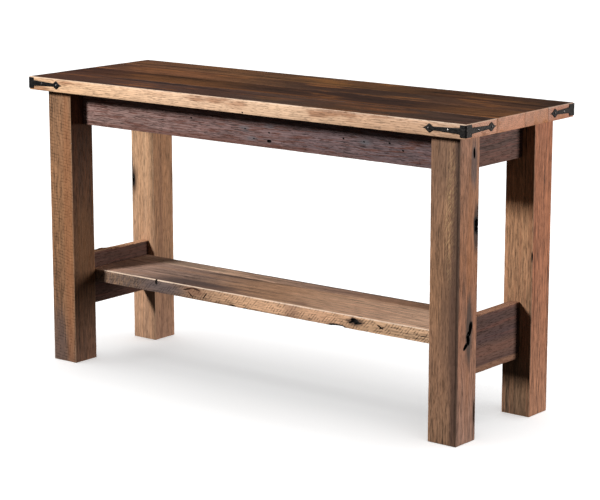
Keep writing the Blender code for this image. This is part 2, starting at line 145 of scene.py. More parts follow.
class Finish:
    """A material being built: every node in it comes from one method."""

    def __init__(self, name):
        self.material = bpy.data.materials.new(name)
        self.material.use_nodes = True
        self.tree = self.material.node_tree
        self.shader = self.tree.nodes["Principled BSDF"]
        self.place = self.node("ShaderNodeTexCoord", output="Object")
        self.normal = self.node("ShaderNodeNewGeometry", output="Normal")

    def node(self, kind, settings=None, inputs=None, output=0):
        made = self.tree.nodes.new(kind)
        for key, value in (settings or {}).items():
            if key == "stops":
                self.set_stops(made.color_ramp, value)
            else:
                setattr(made, key, value)
        for key, value in (inputs or {}).items():
            self.plug(made.inputs[key], value)
        return Wire(self, made.outputs[output])

    def plug(self, socket, value):
        if isinstance(value, Wire):
            self.tree.links.new(value.socket, socket)
        elif isinstance(value, tuple) and len(value) == 3 and socket.type == "RGBA":
            socket.default_value = (*value, 1.0)
        else:
            socket.default_value = value

    @staticmethod
    def set_stops(ramp, stops):
        while len(ramp.elements) < len(stops):
            ramp.elements.new(0.5)
        for element, (position, colour) in zip(ramp.elements, stops):
            element.position = position
            element.color = (*colour, 1.0)

    def split(self, vector):
        """The three numbers of a vector."""
        parts = self.node("ShaderNodeSeparateXYZ", inputs={0: vector}).socket.node
        return [Wire(self, socket) for socket in parts.outputs]

    def scaled(self, vector, factors):
        return self.node("ShaderNodeVectorMath", {"operation": "MULTIPLY"}, {0: vector, 1: factors})

    def moved(self, vector, offset):
        return self.node("ShaderNodeVectorMath", {"operation": "ADD"}, {0: vector, 1: offset})

    def noise(self, vector, factors, detail=2.0, roughness=0.5, shift=0.0, output=0):
        """Noise between 0 and 1, so many cells to the metre each way."""
        spread = self.moved(self.scaled(vector, factors), (shift, shift * 0.37, -shift * 0.71))
        return self.node("ShaderNodeTexNoise", {},
                         {"Vector": spread, "Scale": 1.0, "Detail": detail, "Roughness": roughness}, output)

    def between(self, value, low, high, smooth=True):
        """0 below low, 1 above high."""
        return self.node("ShaderNodeMapRange",
                         {"interpolation_type": "SMOOTHSTEP" if smooth else "LINEAR"},
                         {"Value": value, "From Min": low, "From Max": high})

    def ramp(self, value, stops):
        return self.node("ShaderNodeValToRGB", {"stops": stops}, {0: value})

    def mix(self, share, first, second, blend="MIX"):
        """Two colours mixed."""
        return self.node("ShaderNodeMix", {"data_type": "RGBA", "blend_type": blend},
                         {0: share, 6: first, 7: second}, output=2)

    def bump(self, height, distance):
        return self.node("ShaderNodeBump", {}, {"Strength": 1.0, "Distance": distance, "Height": height})

    def done(self, colour, roughness, normal=None, metallic=0.0, **constants):
        """Plug the results into the shader; numbers are set on its own sockets."""
        self.plug(self.shader.inputs["Base Color"], colour)
        self.plug(self.shader.inputs["Roughness"], roughness)
        self.plug(self.shader.inputs["Metallic"], metallic)
        if normal:
            self.plug(self.shader.inputs["Normal"], normal)
        for key, value in constants.items():
            self.shader.inputs[CONSTANT_SOCKETS[key]].default_value = value
        return self.material


def shade(red, green, blue):
    """A colour given in everyday 0 to 255 values, as the linear numbers a shader takes."""
    return tuple(((part / 255 + 0.055) / 1.055) ** 2.4 if part > 10 else part / 255 / 12.92
                 for part in (red, green, blue))


# ---------------------------------------------------------------- timber finish
# Dark painted into holes, knots and cracks: partly their own dark, partly painted shade in the hollow.
HOLE_DARK_AND_SHADE = shade(14, 11, 10)
FACES = {"+x": (0, 1), "-x": (0, -1), "+y": (1, 1), "-y": (1, -1), "+z": (2, 1), "-z": (2, -1)}
QUIET_BAND = (0.80, 0.76, 0.73)         # what a darker band does to a face of its own tones
GRAIN_SWAY = 0.016                      # how far a line of grain wanders, metres
STAIN_REACH = 0.004                     # how far a mark with no depth reaches into the board
RING_WIDTH = 0.0042
RING_SHARE = 0.18                       # how much darker a ring line is
PORE_DARK = 0.275
FIBRE_FINE = 250.0                      # fibres to the metre across the grain
PORE_CELLS = (45.0, 620.0)              # pores to the metre, along and across the grain
PORE_CUT = (0.58, 0.68)
CLOUD_CELLS = (4.5, 16.0)               # broad light and dark patches
SAW_BREAK_CELLS = (60.0, 90.0)          # where saw marks have been worn away
SAW_BREAK_CUT = (0.42, 0.60)
STROKE_CELLS = (75.0, 560.0)
# The painted dark round a hole reaches out to these sizes: partly its own dark, partly painted shade.
HOLE_EDGE = (1.1, 1.4)                  # where the dark round a hole ends, in its own sizes
STREAK_SHIFT, FIBRE_SHIFT, PORE_SHIFT, CLOUD_SHIFT = 3.1, 5.7, 8.9, 11.3


class Mark:
    """A knot, nail hole, crack or chip in one face of a board, or with no depth a stain on it.

    along is its place up the grain in the table's frame, across is off the face's middle line.
    """

    def __init__(self, facing, along, across, length, width, depth=0.0, turn=0.0,
                 colour=HOLE_DARK_AND_SHADE, amount=1.0, soft=0.25):
        self.facing = facing
        self.along = along
        self.across = across
        self.length = length
        self.width = width
        self.depth = depth
        self.turn = turn
        self.colour = colour
        self.amount = amount
        self.soft = soft

    def lie(self, grain, box):
        """Its middle, its turn and its three half sizes in the table's frame."""
        low, high = box
        axis, sign = FACES[self.facing]
        run = "xyz".index(grain)
        side = 3 - axis - run
        place = (low + high) / 2
        place[axis] = high[axis] if sign > 0 else low[axis]
        place[run] = self.along
        place[side] += self.across
        turn = [0.0, 0.0, 0.0]
        turn[axis] = math.radians(self.turn)
        size = [0.0, 0.0, 0.0]
        size[axis] = self.depth or STAIN_REACH
        size[run] = self.length / 2
        size[side] = self.width / 2
        return place, turn, size


def stain(facing, along, across, length, width, colour, amount, soft):
    """A mark with no depth: a colour that fades out over its edge."""
    return Mark(facing, along, across, length, width, colour=colour, amount=amount, soft=soft)


def stretched(grain, along, across):
    """One factor for the grain's way and another for the two ways across it."""
    return tuple(along if letter == grain else across for letter in "xyz")


def even_stops(colours):
    """Stops for a ramp that runs through the colours at even steps."""
    if len(colours) == 1:
        colours = colours * 2
    return tuple((index / (len(colours) - 1), colour) for index, colour in enumerate(colours))


def facing_share(finish, facing):
    """1 where the surface looks the given way."""
    axis, sign = FACES[facing]
    return finish.between(finish.split(finish.normal)[axis] * sign, 0.55, 0.8)


def arris_distance(finish, box):
    """How far the nearest arris is, inside the board's box."""
    low, high = box
    middle = (low + high) / 2
    half = (high - low) / 2
    inward = [half[axis] - abs(part) for axis, part in
              enumerate(finish.split(finish.moved(finish.place, tuple(-middle))))]
    nearer = inward[0].lowest(inward[1])
    further = inward[0].highest(inward[1])
    return nearer.highest(further.lowest(inward[2]))


def timber_finish(name, grain, box, tones, faces=None, heart=(0.04, -0.09),
                  second=None, second_share=0.6, second_cut=(0.47, 0.6), streak=0.45, streak_fine=60.0,
                  fibre=0.85, saw=None, pale=None, pale_reach=0.0035, blotch=0.25,
                  weather=None, marks=(), strokes=None, gloss=0.62, seed=0.0, relief=0.0012,
                  streak_run=2.2, wear_and_highlight_box=None, calm=0.0, fibre_run=13.0, pale_up=False, shine=0.25):
    """Old timber cut from one log: rings, streaks, fibres and pores that run through the board,
    with the tones down its length, and what weather, saws, nails and handling did to its faces.

    heart is where the log's middle lay, across the board. faces gives a face tones of its own,
    and calm is how much quieter the grain is there. saw is pitch, slant, darkness, depth and the
    faces it marked; weather is a colour, its share and where it begins; pale is the colour and
    share of a pale arris, partly wear and partly a painted highlight, and pale_up keeps it to the
    board's upper half, which faces the light; strokes is a mark to keep them in, their turn,
    colour and share.
    """
    finish = Finish(name)
    low, high = box
    axis = "xyz".index(grain)
    middle = (low + high) / 2

    sway = finish.noise(finish.place, stretched(grain, 1.7, 7.0), 1.5, shift=seed, output="Color")
    sway = finish.scaled(finish.moved(sway, (-0.5, -0.5, -0.5)), stretched(grain, 0.0, GRAIN_SWAY))
    place = finish.moved(finish.place, sway)
    parts = finish.split(place)
    off_heart = [parts[(axis + step) % 3] - (middle[(axis + step) % 3] + heart[step - 1])
                 for step in (1, 2)]
    radius = (off_heart[0] * off_heart[0] + off_heart[1] * off_heart[1]) ** 0.5

    streaks = finish.noise(place, stretched(grain, streak_run, streak_fine), 4, 0.62, seed + STREAK_SHIFT)
    fibres = finish.noise(place, stretched(grain, fibre_run, FIBRE_FINE), 4, 0.72,
                          seed + FIBRE_SHIFT)
    pore = finish.noise(place, stretched(grain, *PORE_CELLS), 1, 0.5, seed + PORE_SHIFT)
    pore = finish.between(pore, *PORE_CUT)
    cloud = finish.noise(finish.place, stretched(grain, *CLOUD_CELLS), 3, 0.55, seed + CLOUD_SHIFT)
    ring_line = ((radius * (2 * math.pi / RING_WIDTH) + streaks * 9.0).sine() + 1.0) * 0.5

    run = finish.between(finish.split(finish.place)[axis] + (cloud - 0.5) * 0.10 + (streaks - 0.5) * 0.12,
                         low[axis], high[axis], smooth=False)
    colour = finish.ramp(run, even_stops(tones))
    own = 0.0
    for facing, face_tones in (faces or {}).items():
        share = facing_share(finish, facing)
        own = share + own
        colour = finish.mix(share, colour, finish.ramp(run, even_stops(face_tones)))
    if second:
        band = finish.between(streaks, *second_cut)
        colour = finish.mix(band * (1 - own) * second_share, colour, second)
        colour = finish.mix(band * own * (second_share * (1 - calm)), colour, QUIET_BAND, "MULTIPLY")
    if weather:
        weather_colour, weather_share, weather_cut = weather
        patch = finish.between(cloud + (streaks - 0.5) * 0.5, weather_cut, weather_cut + 0.12)
        colour = finish.mix(patch * weather_share, colour, weather_colour)
    tone = (1.0 + (streaks - 0.5) * (2.6 * streak) * (1.0 - own * calm)
            + (fibres - 0.5) * (1.6 * fibre) * (1.0 - own * (calm * 0.5))
            + (cloud - 0.5) * (2 * blotch) * (1.0 - own * calm)
            - ring_line * RING_SHARE + RING_SHARE / 2)
    height = fibres * 0.45 + streaks * 0.5 - ring_line * 0.12
    if saw:
        pitch, slant, amount, depth, saw_faces = saw
        side = parts[(axis + 1) % 3] + parts[(axis + 2) % 3]
        wave = ((parts[axis] + side * slant) * (2 * math.pi / pitch)
                + (cloud - 0.5) * 14.0 + (streaks - 0.5) * 2.0).sine()
        cut = finish.between(wave, 0.1, 0.95)
        broken = finish.noise(finish.place, stretched(grain, *SAW_BREAK_CELLS), 2, shift=seed)
        broken = finish.between(broken, *SAW_BREAK_CUT)
        there = sum((facing_share(finish, facing) for facing in saw_faces), 0.0)
        cut = cut * broken * there
        tone = tone - cut * amount
        height = height - cut * depth
    tone = tone - pore * PORE_DARK
    height = height - pore * 0.5
    colour = finish.mix(1.0, colour, tone.highest(0.05), "MULTIPLY")

    if strokes:
        stroke_mark, stroke_turn, stroke_colour, stroke_share = strokes
        region = spot_reach(finish, stroke_mark, grain, box)
        flecks = stroke_noise(finish, stroke_mark.facing, grain, stroke_turn, seed)
        share = (1 - finish.between(region, 0.6, 1.0)) * finish.between(flecks, 0.5, 0.62)
        colour = finish.mix(share * stroke_share, colour, stroke_colour)
    for mark in marks:
        reach = spot_reach(finish, mark, grain, box) + (fibres - 0.5) * 0.5 + (streaks - 0.5) * 0.8
        # A mark with depth is painted dark over its cut and a little round it: partly the hole's own dark,
        # partly painted shade in the hollow.
        if mark.depth:
            share = 1 - finish.between(reach, *HOLE_EDGE)
        else:
            share = 1 - finish.between(reach, 1.0 - mark.soft, 1.0 + mark.soft)
        colour = finish.mix(share * mark.amount, colour, mark.colour)
    # A pale band along the arrises: partly wear, partly a painted highlight; with pale_up only the board's
    # upper half, which faces the light, gets it.
    if pale:
        worn = arris_distance(finish, wear_and_highlight_box or box) + (cloud - 0.5) * 0.004 + (fibres - 0.5) * 0.003
        edge = 1 - finish.between(worn, pale_reach * 0.25, pale_reach)
        if pale_up:
            edge = edge * finish.between(finish.split(finish.place)[2], middle.z, high.z)
        pale_colour, pale_share = pale
        colour = finish.mix(edge * pale_share, colour, pale_colour)
    roughness = gloss + (streaks - 0.5) * 0.25 + pore * 0.12 + (fibres - 0.5) * 0.1
    return finish.done(colour, roughness, finish.bump(height, relief), shine=shine)


def spot_reach(finish, mark, grain, box):
    """Distance from a mark's middle, 1 at its edge."""
    place, turn, size = mark.lie(grain, box)
    local = finish.node("ShaderNodeMapping", {"vector_type": "TEXTURE"},
                        {"Vector": finish.place, "Location": tuple(place), "Rotation": tuple(turn),
                         "Scale": tuple(size)})
    return finish.node("ShaderNodeVectorMath", {"operation": "LENGTH"}, {0: local}, output="Value")


def stroke_noise(finish, facing, grain, turn, seed):
    """Short strokes across a face, turned so many degrees off the grain."""
    angles = [0.0, 0.0, 0.0]
    angles[FACES[facing][0]] = math.radians(turn)
    turned = finish.node("ShaderNodeMapping", {"vector_type": "POINT"},
                         {"Vector": finish.place, "Rotation": tuple(angles)})
    return finish.noise(turned, stretched(grain, *STROKE_CELLS), 1, shift=seed)


# ---------------------------------------------------------------- modelling by hand
def only(piece):
    """Leave one object selected and active."""
    bpy.ops.object.select_all(action="DESELECT")
    piece.select_set(True)
    bpy.context.view_layer.objects.active = piece


def place_in_mesh(piece):
    """Move the object to the origin, unturned and unscaled, with its place in its mesh."""
    only(piece)
    bpy.ops.object.transform_apply(location=True, rotation=True, scale=True)


def choose_edges(piece, test):
    """Select the edges that pass the test, in edit mode."""
    bpy.ops.mesh.select_mode(type="EDGE")
    bpy.ops.mesh.select_all(action="DESELECT")
    net = bmesh.from_edit_mesh(piece.data)
    for edge in net.edges:
        edge.select_set(test(*(corner.co for corner in edge.verts)))
    bmesh.update_edit_mesh(piece.data)


def choose_faces(piece, test):
    """Select the faces that pass the test, in edit mode."""
    bpy.ops.mesh.select_mode(type="FACE")
    bpy.ops.mesh.select_all(action="DESELECT")
    net = bmesh.from_edit_mesh(piece.data)
    for face in net.faces:
        face.select_set(test(face))
    bmesh.update_edit_mesh(piece.data)


def divide(piece, axis, spacing):
    """Cut every edge that runs along one axis into equal steps no longer than the spacing."""
    def runs_along(start, end):
        step = end - start
        return abs(step[axis]) > spacing * 1.01 and abs(step[axis]) > 0.99 * step.length

    net = bmesh.from_edit_mesh(piece.data)
    longest = max(abs((edge.verts[1].co - edge.verts[0].co)[axis]) for edge in net.edges)
    pieces = max(1, math.ceil(longest / spacing))
    rounds = [4, math.ceil(pieces / 4)] if pieces > 60 else [pieces]
    for count in rounds:
        if count > 1:
            choose_edges(piece, runs_along)
            bpy.ops.mesh.subdivide(number_cuts=count - 1)


def apply(piece, modifier):
    """Make a modifier's result the piece's own mesh."""
    only(piece)
    bpy.ops.object.modifier_apply(modifier=modifier.name)


def worn_texture(name, size, contrast=1.0, brightness=1.0):
    """Soft lumps of one size, kept between 0 and 1."""
    texture = bpy.data.textures.new(name, "CLOUDS")
    texture.noise_scale = size
    texture.noise_depth = 2
    texture.contrast = contrast
    texture.intensity = brightness
    texture.use_clamp = True
    return texture


HOLLOWS = worn_texture("hollows", 0.07)
CHIPS = worn_texture("chips", 0.022, 3.2, 0.62)
WAVES = worn_texture("waves", 0.09, 4.5, 0.85)


def sink(piece, texture, depth, corners=None, direction="NORMAL"):
    """Let the surface down by up to the depth where the texture is bright."""
    modifier = piece.modifiers.new("sink", "DISPLACE")
    modifier.texture = texture
    modifier.texture_coords = "LOCAL"
    modifier.mid_level = 0.0
    modifier.strength = -depth
    modifier.direction = direction
    if corners is not None:
        group = piece.vertex_groups.new(name="let down")
        group.add(corners, 1.0, "REPLACE")
        modifier.vertex_group = group.name
    apply(piece, modifier)


def near_arris(piece, box, reach):
    """Corners of the mesh that lie within reach of an arris of the box."""
    low, high = box
    found = []
    for corner in piece.data.vertices:
        gaps = sorted(min(corner.co[axis] - low[axis], high[axis] - corner.co[axis])
                      for axis in range(3))
        if gaps[1] < reach:
            found.append(corner.index)
    return found


RAGGEDNESS = 0.22                       # of a hole's smallest half size
SMOOTH_HOLE = 0.008                     # a hole longer than this has a ragged wall


def cut_marks(piece, marks, grain, box, seed):
    """Cut the knots, holes, cracks and chips that have depth."""
    gouges = []
    for mark in marks:
        if not mark.depth:
            continue
        place, turn, size = mark.lie(grain, box)
        rough = mark.length > SMOOTH_HOLE
        bpy.ops.mesh.primitive_ico_sphere_add(subdivisions=3 if rough else 2, radius=1.0,
                                              location=place, rotation=turn, scale=size)
        gouge = bpy.context.object
        place_in_mesh(gouge)
        if rough:
            bpy.ops.object.mode_set(mode="EDIT")
            bpy.ops.mesh.select_all(action="SELECT")
            seed += 1
            bpy.ops.transform.vertex_random(offset=RAGGEDNESS * min(size), uniform=0.6, seed=seed)
            bpy.ops.object.mode_set(mode="OBJECT")
        gouges.append(gouge)
    if not gouges:
        return
    tools = bpy.data.collections.new("gouges")
    for gouge in gouges:
        tools.objects.link(gouge)
    modifier = piece.modifiers.new("gouge", "BOOLEAN")
    modifier.operation = "DIFFERENCE"
    modifier.solver = "EXACT"
    modifier.operand_type = "COLLECTION"
    modifier.collection = tools
    apply(piece, modifier)
    for gouge in gouges:
        bpy.data.objects.remove(gouge)
    bpy.data.collections.remove(tools)


WAVE_BANDS = (0.030, 0.016, 0.004)      # how far below a wavy top edge each letting down starts
MESH_ALONG = 0.007                      # longest step of the mesh along the grain
MESH_ACROSS = 0.014
HOLLOW_DEPTH = 0.0002
WEAR_REACH = 1.3                        # wear at an arris goes this many times its easing
SMOOTH_ANGLE = math.radians(35)


def timber(name, node, box, grain, finish, ease, chip, marks, wavy, seed):
    """One board or post: squared up, eased, let down by wear, and cut by its marks."""
    low, high = box
    bpy.ops.object.select_all(action="DESELECT")
    bpy.ops.mesh.primitive_cube_add(size=1.0, location=(low + high) / 2, scale=high - low)
    piece = bpy.context.object
    piece.name = name
    place_in_mesh(piece)
    bpy.ops.object.mode_set(mode="EDIT")
    bpy.ops.mesh.select_mode(type="EDGE")
    bpy.ops.mesh.select_all(action="SELECT")
    bpy.ops.mesh.bevel(offset=ease, segments=2, affect="EDGES")
    run = "xyz".index(grain)
    divide(piece, run, MESH_ALONG)
    for axis in range(3):
        if axis != run:
            divide(piece, axis, MESH_ACROSS)
    bpy.ops.object.mode_set(mode="OBJECT")
    sink(piece, HOLLOWS, HOLLOW_DEPTH)
    sink(piece, CHIPS, chip, near_arris(piece, box, ease * WEAR_REACH))
    for below in WAVE_BANDS if wavy else ():
        corners = [corner.index for corner in piece.data.vertices if corner.co.z > high.z - below]
        sink(piece, WAVES, wavy / len(WAVE_BANDS), corners, "Z")
    cut_marks(piece, marks, grain, box, seed)
    only(piece)
    bpy.ops.object.shade_smooth_by_angle(angle=SMOOTH_ANGLE)
    piece.data.materials.clear()
    piece.data.materials.append(finish)
    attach(piece, "root")
    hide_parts(node)


# ---------------------------------------------------------------- boards and posts
def clear_box(node, **limits):
    """A node's box, with some of its sides moved in to a neighbour's face."""
    low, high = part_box(node)
    for key, value in limits.items():
        side, axis = key.split("_")
        (low if side == "low" else high)["xyz".index(axis)] = value
    return low, high


GAP = 0.0003                            # between boards that touch
leg_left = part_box("leg_front_left")
leg_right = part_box("leg_front_right")
leg_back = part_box("leg_rear_left")
inside_left = leg_left[1].x + GAP
inside_right = leg_right[0].x - GAP
inside_front = leg_left[1].y + GAP
inside_back = leg_back[0].y - GAP

BOXES = {
    "top_board_front": clear_box("top_board_front", high_y=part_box("top_board_second")[0].y - GAP),
    "top_board_second": clear_box("top_board_second", high_y=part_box("top_board_third")[0].y - GAP),
    "top_board_third": clear_box("top_board_third", high_y=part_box("top_board_rear")[0].y - GAP),
    "top_board_rear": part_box("top_board_rear"),
    "leg_front_left": leg_left,
    "leg_front_right": leg_right,
    "leg_rear_left": leg_back,
    "leg_rear_right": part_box("leg_rear_right"),
}
for rail in ("apron_front", "apron_rear"):
    BOXES[rail] = clear_box(rail, low_x=inside_left, high_x=inside_right)
for rail in ("apron_left", "apron_right", "stretcher_left", "stretcher_right"):
    BOXES[rail] = clear_box(rail, low_y=inside_front, high_y=inside_back)
shelf_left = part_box("stretcher_left")[1].x + GAP
shelf_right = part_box("stretcher_right")[0].x - GAP
BOXES["shelf_board_front"] = clear_box("shelf_board_front", low_x=shelf_left, high_x=shelf_right,
                                       high_y=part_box("shelf_board_rear")[0].y - GAP)
BOXES["shelf_board_rear"] = clear_box("shelf_board_rear", low_x=shelf_left, high_x=shelf_right)

SLAB = (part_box("top_board_front")[0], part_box("top_board_rear")[1])
SHELF = (BOXES["shelf_board_front"][0], BOXES["shelf_board_rear"][1])
TAN = shade(214, 174, 138)
TAN_DEEP = shade(196, 156, 122)
PINK_TAN = shade(208, 156, 130)
# Pale arris colour of the top boards: partly wear, partly a painted highlight along the lit upper arrises.
PALE_ARRIS_AND_HIGHLIGHT = shade(240, 210, 184)
BLUE_GREY = shade(104, 104, 110)

# What the boards of one kind share; the rest is each board's own.
TOP_BOARD = dict(slot="top_timber", grain="x", gloss=0.5, shine=0.4, fibre=1.2, fibre_run=24.0,
                 streak_fine=38.0, streak_run=1.8, wear_and_highlight_box=SLAB, pale_up=True)
LEG = dict(slot="leg_timber", grain="z", gloss=0.66, fibre_run=22.0)
APRON = dict(slot="apron_timber", heart=(0.02, -0.05), gloss=0.7, blotch=0.2, relief=0.0018,
             second_cut=(0.51, 0.57), streak=0.95, streak_fine=260.0, streak_run=15.0)
STRETCHER = dict(slot="stretcher_timber", grain="y", heart=(0.01, -0.06), gloss=0.7, blotch=0.2,
                 streak=0.35, relief=0.0016)
SHELF_BOARD = dict(grain="x", heart=(0.0, -0.07), wear_and_highlight_box=SHELF, pale_up=True)
APRON_MIDDLE = 0.6813                   # height of the front apron's middle

